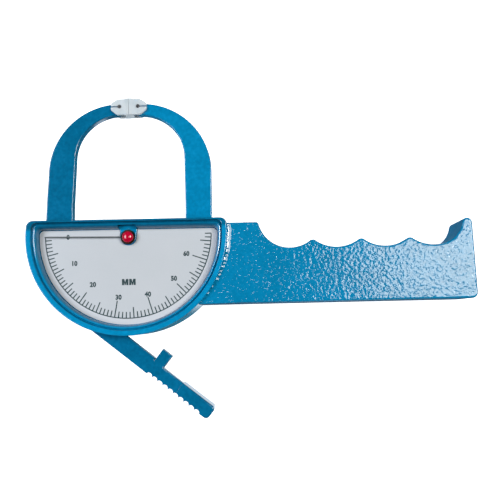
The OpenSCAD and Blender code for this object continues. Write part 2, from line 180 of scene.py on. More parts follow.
def shade(obj, sharp=35.0, weighted=True):
    mesh = obj.data
    mesh.polygons.foreach_set("use_smooth", [True] * len(mesh.polygons))
    mesh.set_sharp_from_angle(angle=math.radians(sharp))
    if weighted and "even" not in obj.modifiers:
        w = obj.modifiers.new("even", "WEIGHTED_NORMAL")
        w.mode = "FACE_AREA"
        w.weight = 50
        w.keep_sharp = True


def ring(bm, pts, z):
    z = np.broadcast_to(np.asarray(z, float), (len(pts),))
    return [bm.verts.new((x * MM, y * MM, h * MM)) for (x, y), h in zip(pts, z)]


def loft(bm, rings, mat=0, caps=(True, True)):
    for a, b in zip(rings, rings[1:]):
        n = len(a)
        for i in range(n):
            f = bm.faces.new((a[i], a[(i + 1) % n], b[(i + 1) % n], b[i]))
            f.material_index = mat
    if caps[0]:
        bm.faces.new(rings[0][::-1]).material_index = mat
    if caps[1]:
        bm.faces.new(rings[-1]).material_index = mat


def slab(bm, loop, z0, z1, r0=0.0, r1=0.0, weight=None, steps=5, mat=0):
    """A closed plate from z0 to z1 with rounded lower and upper edges."""
    loop = np.asarray(loop, float)
    m = mitres(loop)
    w = np.ones(len(loop)) if weight is None else np.asarray(weight, float)
    rings = []
    for k in range(steps + 1 if r0 else 1):
        a = math.radians(90 * k / steps)
        rings.append((r0 * (1 - math.sin(a)), z0 + r0 * (1 - math.cos(a))))
    for k in range(steps + 1 if r1 else 1):
        a = math.radians(90 * k / steps)
        rings.append((r1 * (1 - math.cos(a)), z1 - r1 * (1 - math.sin(a))))
    loft(bm, [ring(bm, loop + m * (d * w)[:, None], z) for d, z in rings], mat)


def lathe(bm, profile, centre=(0, 0), n=64, mat=0):
    """A closed turned piece: profile is (radius, z) from the bottom centre to the top centre."""
    rows = []
    for r, z in profile:
        if r < 1e-6:
            rows.append([bm.verts.new((centre[0] * MM, centre[1] * MM, z * MM))])
        else:
            rows.append(ring(bm, [(centre[0] + r * math.cos(2 * math.pi * k / n), centre[1] + r * math.sin(2 * math.pi * k / n)) for k in range(n)], z))
    for a, b in zip(rows, rows[1:]):
        for i in range(n):
            j = (i + 1) % n
            q = []
            for v in (a[i % len(a)], a[j % len(a)], b[j % len(b)], b[i % len(b)]):
                if v not in q:
                    q.append(v)
            if len(q) > 2:
                bm.faces.new(q).material_index = mat


def tool(draw, name="tool"):
    bm = bmesh.new()
    draw(bm)
    return to_object(bm, name, (), weighted=False)


def combine(obj, tools, operation, crossing=False):
    """Boolean with each tool in turn, applied to obj's mesh; the tools go."""
    mods = []
    for t in tools:
        m = obj.modifiers.new("cut", "BOOLEAN")
        m.operation, m.solver, m.object, m.use_self = operation, "EXACT", t, crossing
        mods.append(m)
    keep = [m for m in obj.modifiers if m.type == "WEIGHTED_NORMAL"]
    for m in keep:
        obj.modifiers.remove(m)
    bpy.context.view_layer.update()
    dg = bpy.context.evaluated_depsgraph_get()
    mesh = bpy.data.meshes.new_from_object(obj.evaluated_get(dg))
    obj.modifiers.clear()
    old = obj.data
    obj.data = mesh
    mesh.name = old.name + "_cut"
    bpy.data.meshes.remove(old)
    for t in tools:
        d = t.data
        bpy.data.objects.remove(t)
        bpy.data.meshes.remove(d)
    return obj


def cylinder(c, r, z0, z1, mat=0, step=0.3):
    return tool(lambda bm: slab(bm, circle(c, r, step), z0, z1, mat=mat))


def block(x0, x1, y0, y1, z0, z1):
    return tool(lambda bm: slab(bm, [(x0, y0), (x1, y0), (x1, y1), (x0, y1)], z0, z1))


# ---------------------------------------------------------------- materials
class Shader:
    """A node tree written line by line."""

    def __init__(self, name):
        self.m = bpy.data.materials.new(name)
        self.m.use_nodes = True
        self.t = self.m.node_tree
        self.t.nodes.clear()
        self.out = self.t.nodes.new("ShaderNodeOutputMaterial")
        self.p = self.t.nodes.new("ShaderNodeBsdfPrincipled")
        self.t.links.new(self.p.outputs[0], self.out.inputs[0])
        self.x = self.t.nodes.new("ShaderNodeTexCoord").outputs["Object"]

    def node(self, kind, inputs=(), **settings):
        n = self.t.nodes.new("ShaderNode" + kind)
        for k, v in settings.items():
            setattr(n, k, v)
        for k, v in dict(inputs).items():
            self.put(n.inputs[k], v)
        return n

    def put(self, socket, value):
        if isinstance(value, bpy.types.NodeSocket):
            self.t.links.new(value, socket)
        else:
            socket.default_value = value

    def set(self, **values):
        for k, v in values.items():
            self.put(self.p.inputs[k.replace("_", " ")], v)
        return self

    def noise(self, scale, detail=2.0, rough=0.5, distort=0.0, at=None):
        return self.node("TexNoise", {"Vector": at or self.x, "Scale": scale, "Detail": detail, "Roughness": rough, "Distortion": distort}).outputs["Fac"]

    def cells(self, scale, smooth=0.6, at=None, feature="SMOOTH_F1"):
        n = self.node("TexVoronoi", {"Vector": at or self.x, "Scale": scale}, feature=feature)
        if feature == "SMOOTH_F1":
            n.inputs["Smoothness"].default_value = smooth
        return n.outputs["Distance"]

    def math(self, op, a, b=0.0, clamp=False):
        n = self.node("Math", operation=op, use_clamp=clamp)
        self.put(n.inputs[0], a)
        self.put(n.inputs[1], b)
        return n.outputs[0]

    def ramp(self, fac, stops, kind="LINEAR"):
        n = self.node("ValToRGB", {"Fac": fac})
        n.color_ramp.interpolation = kind
        r = n.color_ramp.elements
        while len(r) < len(stops):
            r.new(0.5)
        for e, (pos, col) in zip(r, stops):
            e.position = pos
            e.color = (*col, 1) if len(col) == 3 else col
        return n.outputs["Color"]

    def span(self, value, a, b, c=0.0, d=1.0, smooth=True):
        n = self.node("MapRange", {"Value": value, "From Min": a, "From Max": b, "To Min": c, "To Max": d})
        n.interpolation_type = "SMOOTHSTEP" if smooth else "LINEAR"
        n.clamp = True
        return n.outputs["Result"]

    def bump(self, height, distance, strength=1.0, normal=None):
        n = self.node("Bump", {"Height": height, "Distance": distance, "Strength": strength})
        if normal is not None:
            self.put(n.inputs["Normal"], normal)
        return n.outputs["Normal"]


def warped(s, scale, amount):
    """Object coordinates pushed about by noise, so that cells lose their grid."""
    n = s.node("TexNoise", {"Vector": s.x, "Scale": scale, "Detail": 2.0})
    away = s.node("VectorMath", operation="SUBTRACT")
    s.put(away.inputs[0], n.outputs["Color"])
    away.inputs[1].default_value = (0.5, 0.5, 0.5)
    by = s.node("VectorMath", operation="SCALE")
    s.put(by.inputs[0], away.outputs[0])
    by.inputs["Scale"].default_value = amount
    add = s.node("VectorMath", operation="ADD")
    s.put(add.inputs[0], s.x)
    s.put(add.inputs[1], by.outputs[0])
    return add.outputs[0]


def enamel(name, relief, mid, spread=0.16, cell=1.5, speck=0.0, rough=0.07, edge_shade=0.62, top=1.0, side=0.5):
    """Hammered enamel: wavy dimples about cell mm across, sparse steep specks, mottled colour, with painted shade on
    edges and upright sides.
    """
    s = Shader(name)
    k = 1.0 / (cell * MM)
    at = warped(s, 0.7 * k, 0.55 * cell * MM)
    dimple = s.cells(0.9 * k, 0.9, at)
    wave = s.noise(1.05 * k, 1.5, 0.45, 0.35)
    fine = s.noise(3.2 * k, 2.0, 0.5)
    wide = s.noise(70.0, 3.0, 0.55)
    height = s.math("ADD", s.math("ADD", s.math("MULTIPLY", dimple, 0.55), wave), s.math("MULTIPLY", fine, 0.04))
    if speck:
        dot = s.node("TexVoronoi", {"Vector": s.x, "Scale": 1.0 / (1.45 * MM), "Randomness": 1.0})
        pick = s.node("SeparateColor", {"Color": dot.outputs["Color"]})
        cap = s.span(dot.outputs["Distance"], 0.0, 0.29, 1.0, 0.0)
        keep = s.math("GREATER_THAN", pick.outputs[0], 0.28)
        height = s.math("ADD", height, s.math("MULTIPLY", s.math("MULTIPLY", cap, keep), speck))
    low = tuple(c * (1 - spread) for c in mid)
    high = tuple(c * (1 + spread) + 0.002 for c in mid)
    tone = s.math("ADD", s.math("MULTIPLY", wave, 0.5), s.math("MULTIPLY", wide, 0.5))
    # painted shade: the colour darkens on edges and upright sides, more the further the normal tilts from straight
    # up, and, when top is below 1, over a strip from Y 2 to 4 mm
    facing = s.node("SeparateXYZ", {"Vector": s.x.node.outputs["Normal"]}).outputs["Z"]
    painted_shade = s.span(facing, 0.30, 0.985, edge_shade, 1.0)
    # painted shade on the rim's upper strip, whose slopes face away from the light
    if top != 1.0:
        y = s.node("SeparateXYZ", {"Vector": s.x}).outputs["Y"]
        painted_shade = s.math("MULTIPLY", painted_shade, s.span(y, 2.0 * MM, 4.0 * MM, 1.0, top))
    colour = s.node("VectorMath", operation="SCALE")
    s.put(colour.inputs[0], s.ramp(tone, [(0.34, low), (0.50, mid), (0.68, high)]))
    s.put(colour.inputs["Scale"], painted_shade)
    s.set(
        Base_Color=colour.outputs[0],
        Roughness=s.span(fine, 0.3, 0.7, rough, rough + 0.05),
        Normal=s.bump(height, relief * MM),
    )
    s.p.inputs["IOR"].default_value = 1.75
    if side != 0.5:
        s.put(s.p.inputs["Specular IOR Level"], s.span(facing, 0.15, 0.6, side, 0.5))
        s.put(s.p.inputs["Roughness"], s.math("ADD", s.span(fine, 0.3, 0.7, rough, rough + 0.05), s.span(facing, 0.15, 0.6, 0.6, 0.0)))
    return s.m


BLUE = (0.0006, 0.240, 0.490)
BLUE_JAW = (0.0004, 0.160, 0.334)
# painted shade: the edge factor is how dark each enamel is painted on its edges and upright sides
m_grip = enamel("enamel_grip", 0.20, BLUE, 0.12, 1.70, 0.55, edge_shade=0.46, side=0.04)
m_fillet = enamel("enamel_fillet", 0.06, BLUE, 0.12, 1.7, 0.5, 0.06)
# painted shade and light on the rim: its blue is lifted to 1.22 times, and top=0.52 paints its upper strip darker
m_rim = enamel("enamel_rim", 0.030, tuple(c * 1.22 for c in BLUE), 0.14, 2.2, edge_shade=0.55, top=0.52)
m_jaw = enamel("enamel_jaw", 0.045, tuple(c * 1.07 for c in BLUE), 0.15, 1.9)
m_lever = enamel("enamel_moving", 0.045, BLUE_JAW, 0.17, 1.9)
# painted shade: the inside faces of the housing take the blue at 0.35 times
m_inside = enamel("enamel_inside", 0.03, tuple(c * 0.35 for c in BLUE), 0.2, 2.0, 0.0, 0.3)


def paint(name, a, b, rough=0.4, relief=0.004, scale=900.0):
    s = Shader(name)
    n = s.noise(scale, 4.0, 0.6)
    wide = s.noise(40.0, 2.0, 0.5)
    s.set(
        Base_Color=s.ramp(s.math("ADD", s.math("MULTIPLY", n, 0.4), s.math("MULTIPLY", wide, 0.6)), [(0.3, a), (0.7, b)]),
        Roughness=s.span(n, 0.3, 0.7, rough - 0.05, rough + 0.08),
        Normal=s.bump(n, relief * MM),
    )
    return s.m


def metal(name, a, b, rough=0.25, along=None, relief=0.004):
    """Turned or drawn metal: fine lines along one axis, or round Z when none is given."""
    s = Shader(name)
    if along is None:
        r = s.node("VectorMath", operation="LENGTH")
        s.put(r.inputs[0], s.x)
        lines = s.node("TexNoise", {"Scale": 4000.0, "Detail": 2.0}, noise_dimensions="1D")
        s.put(lines.inputs["W"], r.outputs["Value"])
        f = lines.outputs["Fac"]
    else:
        sc = [2600.0, 2600.0, 2600.0]
        sc[along] = 60.0
        mp = s.node("Mapping", {"Vector": s.x, "Scale": sc})
        f = s.noise(1.0, 3.0, 0.6, at=mp.outputs[0])
    stain = s.noise(160.0, 3.0, 0.6)
    s.set(
        Base_Color=s.ramp(s.math("ADD", s.math("MULTIPLY", f, 0.5), s.math("MULTIPLY", stain, 0.5)), [(0.3, a), (0.7, b)]),
        Metallic=1.0,
        Roughness=s.span(f, 0.3, 0.7, rough - 0.06, rough + 0.12),
        Normal=s.bump(f, relief * MM),
    )
    return s.m


m_dial = paint("dial_grey", (0.566, 0.608, 0.655), (0.605, 0.640, 0.688), 0.42, 0.002, 1400.0)
m_band = paint("dial_band", (0.620, 0.650, 0.705), (0.680, 0.705, 0.760), 0.40, 0.002, 1400.0)
m_ink = paint("dial_ink", (0.008, 0.035, 0.042), (0.018, 0.055, 0.064), 0.5, 0.002, 2200.0)
m_needle = paint("needle_paint", (0.060, 0.075, 0.080), (0.110, 0.125, 0.130), 0.38, 0.002, 1500.0)
m_bronze = metal("washer_dark", (0.020, 0.018, 0.016), (0.070, 0.045, 0.030), 0.35)
m_steel = metal("steel_turned", (0.42, 0.43, 0.45), (0.62, 0.63, 0.65), 0.24)
m_drawn = metal("steel_drawn", (0.48, 0.49, 0.51), (0.66, 0.67, 0.69), 0.22, along=2)
m_spring = metal("spring_blued", (0.10, 0.11, 0.14), (0.22, 0.23, 0.27), 0.28)
m_brass = metal("brass_cut", (0.60, 0.42, 0.16), (0.78, 0.58, 0.27), 0.26)


def red_cap():
    s = Shader("cap_red_gloss")
    n = s.noise(700.0, 3.0, 0.5)
    s.set(
        Base_Color=s.ramp(n, [(0.3, (0.50, 0.001, 0.026)), (0.7, (0.62, 0.003, 0.040))]),
        Roughness=s.span(n, 0.3, 0.7, 0.10, 0.18),
        Normal=s.bump(n, 0.02 * MM),
        Coat_Weight=0.6,
        Coat_Roughness=0.05,
    )
    return s.m


def nylon():
    s = Shader("nylon_milky")
    n = s.noise(500.0, 3.0, 0.5)
    flow = s.noise(130.0, 2.0, 0.5, 0.6)
    s.set(
        Base_Color=s.ramp(flow, [(0.3, (0.60, 0.68, 0.73)), (0.7, (0.70, 0.76, 0.80))]),
        Roughness=s.span(n, 0.3, 0.7, 0.32, 0.45),
        Normal=s.bump(n, 0.012 * MM),
        Subsurface_Weight=0.55,
        Subsurface_Radius=(1.0, 0.95, 0.9),
        Subsurface_Scale=1.4 * MM,
    )
    return s.m


m_red = red_cap()
m_nylon = nylon()


# ---------------------------------------------------------------- the half-moon
def moon(r, top, c, n=(14, 70, 14, 240)):
    yc = top - c
    xc = math.sqrt((r - c) ** 2 - yc * yc)
    at = math.degrees(math.atan2(yc, xc))

    def part(points, k):
        return points[:k]

    def along(centre, rad, a0, a1, k):
        t = np.radians(np.linspace(a0, a1, k + 1))
        return [(centre[0] + rad * math.cos(a), centre[1] + rad * math.sin(a)) for a in t]

    pts = part(along((xc, yc), c, at, 90, n[0]), n[0])
    pts += [(xc + (-2 * xc) * k / n[1], top) for k in range(n[1])]
    pts += part(along((-xc, yc), c, 90, 180 - at, n[2]), n[2])
    pts += part(along((0, 0), r, 180 - at, 360 + at, n[3]), n[3])
    return pts


R, TOP = 52.9, 7.7
HOUSE, DIAL = (-0.25, -0.1), (0.05, -0.2)


def placed(pts, centre, turn=-0.37):
    """Points of the half-moon moved to their centre and leant, with the flat top higher on the left."""
    c, s = math.cos(math.radians(turn)), math.sin(math.radians(turn))
    return [(centre[0] + x * c - y * s, centre[1] + x * s + y * c) for x, y in pts]


def housing(bm):
    rows = []
    for k in range(4):
        a = math.radians(90 * k / 3)
        d = 0.6 * (1 - math.sin(a))
        rows.append((R - d, TOP - d, 3.5 - d, 0.6 * (1 - math.cos(a)), 0.0))
    rim = 0.6
    for k in range(7):
        a = math.radians(90 * k / 6)
        d = rim * (1 - math.cos(a))
        rows.append((R - d, TOP - d, 3.5 - d, 28 - rim * (1 - math.sin(a)), 0.0))
    rows += [
        (50.75, 6.95, 3.00, 28.00, 0.2),
        (50.35, 6.72, 2.92, 27.95, 0.3),
        (50.10, 6.55, 2.88, 27.72, 0.3),
        (49.92, 6.42, 2.84, 27.20, 0.4),
        (49.80, 6.30, 2.80, 26.60, 0.4),
        (49.62, 6.12, 2.76, 26.45, 0.5),
        (49.45, 5.95, 2.74, 26.62, 0.5),
        (49.30, 5.80, 2.72, 27.05, 0.5),
        (49.10, 5.58, 2.70, 27.36, 0.6),
        (48.85, 5.28, 2.68, 27.46, 0.6),
        (48.60, 4.96, 2.66, 27.38, 0.7),
        (48.25, 4.50, 2.63, 27.05, 0.8),
        (47.90, 4.00, 2.58, 26.50, 0.9),
        (47.62, 3.55, 2.54, 25.70, 1.0),
        (47.46, 3.26, 2.52, 24.80, 1.0),
        (47.40, 3.15, 2.50, 23.80, 1.0),
        (47.40, 3.15, 2.50, 22.20, 1.0),
    ]
    rings = []
    for r, t, c, z, w in rows:
        centre = [h + (d - h) * w for h, d in zip(HOUSE, DIAL)]
        rings.append(ring(bm, placed(moon(r, t, c), centre), z))
    loft(bm, rings, 1)


# ---------------------------------------------------------------- the grip
def meet(a, ra, b, rb):
    a, b = np.array(a), np.array(b)
    d = np.linalg.norm(b - a)
    u = (b - a) / d
    x = (d * d + ra * ra - rb * rb) / (2 * d)
    y = math.sqrt(ra * ra - x * x)
    return a + u * x + np.array([u[1], -u[0]]) * y


def grip_loop():
    end, top, bot = 180.7, 4.65, -37.6
    tip = (end - 3.5, 1.5)
    g4 = (161.2, 4.4)
    r4 = math.dist(tip, g4) - 2.6
    g4l = (g4[0] - 0.24 * (19 - r4), g4[1] + 0.97 * (19 - r4))
    grooves = [((85.4, 7.6), 16.8), ((109.7, 9.65), 19.0), ((134.9, 9.6), 19.0), (g4l, 19.0)]
    left = 50.8
    pts = [(math.sqrt(left * left - bot * bot), bot)]
    pts += [(60 + 10 * k, bot) for k in range(12)]
    pts += arc((end - 3, bot + 3), 3, -90, 0, 0.4)
    pts += [(end - 0.12, -30), (end - 0.37, -20), (end - 0.61, -10)]
    out = heading(tip, g4) % 360
    pts += arc(tip, 2.6, 0, out, 0.3)
    a4 = heading(g4, tip)
    pts += arc(g4, r4, a4, -76.1, 0.5)[1:]
    start = -76.1
    for i in (3, 2, 1):
        b, rb = grooves[i]
        a, ra = grooves[i - 1]
        c = meet(a, ra + 2.5, b, rb + 2.5)
        pts += arc(b, rb, start, heading(b, c) - (360 if heading(b, c) > 0 else 0), 0.5)[1:]
        s, e = heading(c, b), heading(c, a)
        pts += arc(c, 2.5, s, e, 0.25)[1:]
        start = heading(a, c)
    g1, r1 = grooves[0]
    cx = g1[0] - math.sqrt((r1 + 1.6) ** 2 - (g1[1] - top + 1.6) ** 2)
    corner = (cx, top - 1.6)
    last = heading(g1, corner)
    pts += arc(g1, r1, start, last - (360 if last > 0 else 0), 0.5)[1:]
    pts += arc(corner, 1.6, heading(corner, g1), 90, 0.25)[1:]
    pts += [(62, top), (57, top)]
    x0 = math.sqrt(left * left - top * top)
    pts += arc((0, 0), left, math.degrees(math.atan2(top, x0)), -math.degrees(math.asin(-bot / left)), 0.8)[:-1]
    return thin(pts)


def fillet(bm, r=52.9, reach=2.9, bend=6.0):
    """Shallow ragged ramp of enamel where the dial housing stands on the grip."""
    n = 150
    rows = []
    for k in range(n + 1):
        y = 3.6 - 39.7 * k / n
        a = math.asin((y - HOUSE[1]) / r)
        wob = 0.26 * math.sin(37 * a + 1.3) + 0.20 * math.sin(83 * a) + 0.14 * math.sin(151 * a + 0.6)
        thin_out = 1 - 0.55 * min(max((-10 - y) / 26, 0), 1)
        far = reach * thin_out + wob * (0.4 + 0.6 * (1 - thin_out) / 0.55)
        prof = [(r - 0.9, 25.3), (r - 0.9, 26.0 + bend - math.sqrt(bend * bend - far * far))]
        for i in range(11):
            t = far * i / 10
            prof.append((r + t - 0.02, 26.0 + bend - math.sqrt(bend * bend - (far - t) ** 2) - 0.012))
        prof.append((r + far + 0.3, 25.3))
        rows.append([bm.verts.new(((HOUSE[0] + math.sqrt(q * q - (y - HOUSE[1]) ** 2)) * MM, y * MM, z * MM)) for q, z in prof])
    m = len(rows[0])
    for a, b in zip(rows, rows[1:]):
        for i in range(m):
            bm.faces.new((a[i], a[(i + 1) % m], b[(i + 1) % m], b[i])).material_index = 3
    bm.faces.new(rows[0][::-1])
    bm.faces.new(rows[-1])


SCREWS = [(-23.5, -0.5), (23.5, -0.5), (30, -33), (-33.5, -31.5)]
N, I, P = (0.3, -1.5), (0.3, -12.5), (0.3, -42.0)  # needle, idler and jaw axes
LEVER = (0.0, -40.5)


def web(c, ang, length, z1):
    u = np.array([math.cos(math.radians(ang)), math.sin(math.radians(ang))])
    v = np.array([-u[1], u[0]])
    c = np.array(c)
    q = [tuple(c + u * a + v * b) for a, b in ((0, -2), (length, -2), (length, 2), (0, 2))]
    return tool(lambda bm: slab(bm, q, 2.0, z1, mat=2))


def make_frame():
    mats = (m_grip, m_rim, m_inside, m_fillet)
    bm = bmesh.new()
    housing(bm)
    obj = to_object(bm, "frame_casting", mats, weighted=False)
    loop = grip_loop()
    hidden = np.hypot(loop[:, 0], loop[:, 1]) < 51.2
    grip = tool(lambda bm: slab(bm, loop, 0, 26, 0.6, 1.15, np.where(hidden, 0.0, 1.0), 6, mat=0))
    grip.data.materials.append(m_grip)
    fil = tool(fillet)
    combine(obj, [grip, fil], "UNION")
    inner = tool(lambda bm: slab(bm, placed(moon(49.9, 4.7, 2.5), HOUSE), -1, 19.8, mat=2))
    seat = tool(lambda bm: slab(bm, placed(moon(51.5, 6.3, 3.0), HOUSE), -1, 2.0, mat=2))
    combine(obj, [inner, seat, cylinder(N, 5.6, 1.5, 16.0), block(-4.7, 4.7, 2.6, 4.7, 23.6, 30)], "DIFFERENCE")
    slots = [block(-60, -29.9, -60, 12, 14.4, 19.8), block(-60, 14, -60, -32, 14.4, 19.8), block(29.9, 44.8, 0, 12, 14.4, 19.6)]
    combine(obj, slots, "DIFFERENCE")
    u_shape = outline([circle(N, 4.0), [(N[0] - 4, N[1]), (N[0] + 4, N[1]), (N[0] + 4.7, 3.7), (N[0] - 4.7, 3.7)]])
    adds = [tool(lambda bm: slab(bm, u_shape, 19.0, 23.3, 0, 0.45, steps=4, mat=1))]
    for x, y in SCREWS[:3]:
        adds.append(tool(lambda bm, x=x, y=y: slab(bm, circle((x, y), 3.2), 2.0, 20.2, mat=2)))
    adds.append(tool(lambda bm: slab(bm, circle(SCREWS[3], 3.2), 2.0, 11.4, mat=2)))
    adds += [web(SCREWS[3], 223, 5, 11.3), web((-23.5, -0.5), 90, 5.4, 20.1), web((23.5, -0.5), 90, 5.4, 20.1), web(SCREWS[2], -47, 6, 20.1)]
    for y in (-3, -17):
        adds.append(tool(lambda bm, y=y: slab(bm, circle((37.5, y), 4), 19.4, 21.6, mat=2)))
    combine(obj, adds, "UNION")
    cuts = [cylinder(P, 3, 18.8, 21.7), cylinder(I, 1.25, 18.8, 21.4), cylinder(N, 2.5, 17.8, 25)]
    cuts += [cylinder((37.5, y), 1.25, 18.4, 21.6) for y in (-3, -17)]
    cuts += [cylinder(p, 1.25, 1, 12) for p in SCREWS[:3]] + [cylinder(SCREWS[3], 1.25, 1, 9)]
    combine(obj, cuts, "DIFFERENCE")
    shade(obj, 33)
    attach(obj, "frame_body")
    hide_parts("frame")
    return obj


def make_cover():
    bm = bmesh.new()
    slab(bm, placed(moon(51.4, 6.2, 2.9), HOUSE), 0, 2, 0.4, 0.15, steps=3)
    obj = to_object(bm, "cover_plate", (m_rim,), weighted=False)
    adds = []
    post = (P[0] + 15 * math.cos(math.radians(60)), P[1] + 15 * math.sin(math.radians(60)))
    for c, r, z in ((P, 5.2, 3.6), (I, 3.4, 6.0), (N, 4.2, 4.2), (post, 2.6, 3.4)):
        adds.append(tool(lambda bm, c=c, r=r, z=z: slab(bm, circle(c, r), 1, z, 0, 0.3, steps=3)))
    combine(obj, adds, "UNION")
    cuts = [cylinder(post, 1.2, 1.2, 5), cylinder(P, 3, 1, 5), cylinder(I, 1.25, 1.2, 8), cylinder(N, 2.5, 1.2, 8)]
    for p in SCREWS:
        cuts.append(tool(lambda bm, p=p: lathe(bm, [(0, -0.5), (3.45, -0.5), (3.0, 0.0), (1.65, 1.34), (1.65, 4), (0, 4)], p, 48)))
    combine(obj, cuts, "DIFFERENCE")
    shade(obj, 33)
    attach(obj, "frame_body")
    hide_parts("back_cover")
    return obj


# ---------------------------------------------------------------- the jaws
JZ, JZ2 = 14.8, 19.4


def arch_shapes(sh, foot, inner):
    side, ro, ri = 43.9 + sh, 38.35, 24.4
    co, ci = (ro - side, 34.2 - sh / 2), (-5.0 - sh, 41.9 - sh / 2)
    a_end = math.degrees(math.acos((-3.6 - co[0]) / ro))
    add = [
        arc(co, ro, a_end, 180, 0.6) + [(20 - side, co[1]), (-3.6, co[1])],
        [(-side, co[1]), (-0.4 * side - 0.6 * foot, 22), (-foot, 9), (-foot, 0), (20 - foot, 0), (20 - side, co[1])],
    ]
    sub = [
        circle(ci, ri, 0.6),
        [(-inner, -1), (-inner, 17), (ci[0] - ri - 0.01, ci[1]), (0, ci[1]), (0, -1)],
        [(-5.4, 60), (-5.4, 66.6), (-3.6, 68.4), (-2, 68.4), (-2, 60)],
    ]
    return add, sub


def lever_to_frame(q, a=-38.0):
    c, s = math.cos(math.radians(a)), math.sin(math.radians(a))
    return [(LEVER[0] + u * c - v * s, LEVER[1] + u * s + v * c) for u, v in q]


LO, LL = -20.04, 66.4


def lever_shapes(pad=False):
    start = 45.0 if pad else -24.5
    body = [(start, LO), (LL - 2.2, LO), (LL - 2.2, LO + 2.2), (LL, LO + 2.2), (LL, -13.9), (LL - 1.4, -12.5)]
    if pad:
        body += [(start, -12.5)]
    else:
        body += [(32.2, -12.5), (32.2, -4.9), (26, -4.9), (26, -12.1), (25.2, -11.1), (0, -11.1), (-8, -6), (-24.5, -14)]
    add = [lever_to_frame(body), lever_to_frame(circle((LL - 2.2, LO + 2.2), 2.2, 0.3))]
    sub = [lever_to_frame(circle((26.7 + 3.46 * (k + 0.5), LO - 0.5), 1.78, 0.22)) for k in range(10)]
    return add, sub


def arch_weight(loop):
    """Hardly any rounding where the arch ends inside its shoe."""
    p = np.asarray(loop)
    return np.where((np.abs(p[:, 0]) < 8.0) & (p[:, 1] > 60), 0.15, 1.0)


def lever_weight(loop, base=1.0):
    """Less rounding on the serrations and the stub than on the long sides."""
    c, s = math.cos(math.radians(38)), math.sin(math.radians(38))
    d = np.asarray(loop) - np.array(LEVER)
    u, v = d[:, 0] * c - d[:, 1] * s, d[:, 0] * s + d[:, 1] * c
    w = np.full(len(loop), base)
    on = (v < -15) & (v > -22) & (u > 20)
    far = np.maximum(np.maximum(26.2 - u, u - 61.6), 0)
    ridge = 0.12 * np.clip((v - LO - 0.12) / 0.8, 0, 1)
    w = np.where(on, ridge + (base - ridge) * np.clip(far / 2.5, 0, 1), w)
    stub = (v > -12.4) & (u > 24.5) & (u < 33) & (v < -4)
    w = np.where(stub, 0.55 * base, w)
    return w


def make_moving_jaw():
    a, s = arch_shapes(0.0, 45.1, 30.5)
    la, ls = lever_shapes()
    heel = lever_to_frame([(-24.5, LO)])[0]
    arm = [(-30.7, 2.5), (-44.9, 2.5), (-44.9, -8), heel, (-20, -45), P, (2.5, -30), (-29, -5)]
    arm = arm[::-1]
    upper = outline(a, s)
    loop = outline([*a_less(upper), arm, circle(P, 10.4), *la], ls)
    bm = bmesh.new()
    slab(bm, loop, JZ, JZ2, 0.4, 0.6, np.minimum(lever_weight(loop), arch_weight(loop)), 4)
    obj = to_object(bm, "jaw_moving", (m_lever,), weighted=False)
    pa, ps = lever_shapes(True)
    pad = outline(pa, ps)
    pad = pad - mitres(pad) * 0.03
    adds = [
        tool(lambda bm: slab(bm, pad, 9.2, 20.0, 0.7, 0.9, lever_weight(pad), 5)),
        cylinder(P, 6.5, 9.4, JZ + 1),
    ]
    combine(obj, adds, "UNION")
    peg = (P[0] + 17 * math.cos(math.radians(118)), P[1] + 17 * math.sin(math.radians(118)))
    cuts = [cylinder(P, 4, 0, 30), cylinder((-5, 70.5), 0.95, 0, 30), cylinder(peg, 1.2, JZ - 1, JZ + 3)]
    for t in (52, 88):
        q = (P[0] + 8.9 * math.cos(math.radians(t)), P[1] + 8.9 * math.sin(math.radians(t)))
        cuts.append(cylinder(q, 0.8, JZ - 1, JZ + 3))
    combine(obj, cuts, "DIFFERENCE")
    shade(obj, 33)
    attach(obj, "jaw_body")
    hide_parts("moving_jaw")
    return obj


def a_less(loop):
    return [[tuple(p) for p in loop]]


def make_fixed_jaw():
    a, s = arch_shapes(0.4, 44.3, 30.15)
    foot = [(-30.4, 2.5), (-44.0, 2.5), (-44.0, -1), (-42.5, -22), (-32.5, -22), (-30.4, -1)]
    loop = outline([*a_less(outline(a, s)), foot])
    loop = np.column_stack([-loop[:, 0], loop[:, 1]])[::-1]
    bm = bmesh.new()
    slab(bm, loop, JZ, JZ2, 0.4, 0.6, arch_weight(loop), 4)
    obj = to_object(bm, "jaw_fixed", (m_jaw,), weighted=False)
    cuts = [cylinder((37.5, y), 1.65, 10, 25) for y in (-3, -17)] + [cylinder((5, 70.5), 0.95, 0, 30)]
    combine(obj, cuts, "DIFFERENCE")
    shade(obj, 33)
    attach(obj, "frame_body")
    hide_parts("fixed_jaw")
    return obj


